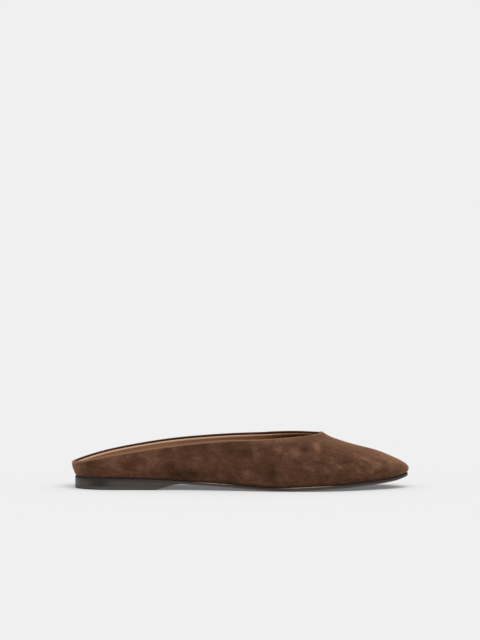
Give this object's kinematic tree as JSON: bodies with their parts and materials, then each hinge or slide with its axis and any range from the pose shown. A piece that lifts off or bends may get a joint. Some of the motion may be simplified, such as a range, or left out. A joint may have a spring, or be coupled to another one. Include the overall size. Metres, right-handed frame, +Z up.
{
  "type": "flat slip-on mule shoe",
  "caption": "Flat slip-on mule for the right foot: low-backed suede upper with an almond toe on a thin full-length sole with a low heel.",
  "frame": {"origin": "on the floor under the middle of the shoe's bounding box", "axes": "+X from the heel to the toe, +Y to the medial (big toe) side, +Z up"},
  "size_m": [0.2596, 0.0886, 0.0434],
  "materials": {
    "upper_suede": "brushed brown suede with a short uneven nap, not glossy",
    "lining_leather": "smooth tan-brown lining leather, low sheen",
    "insole_leather": "smooth tan-brown sock leather, low sheen",
    "sole_leather": "dyed dark brown edge, burnished, semi-gloss",
    "heel_leather": "stacked and dyed dark brown, burnished",
    "lift_rubber": "matte dark grey-brown rubber"
  },
  "bodies": {
    "root": {"upper": "upper_suede", "insole": "insole_leather", "outsole": "sole_leather", "heel_base": "heel_leather", "heel_lift": "lift_rubber"}
  },
  "joints": []
}
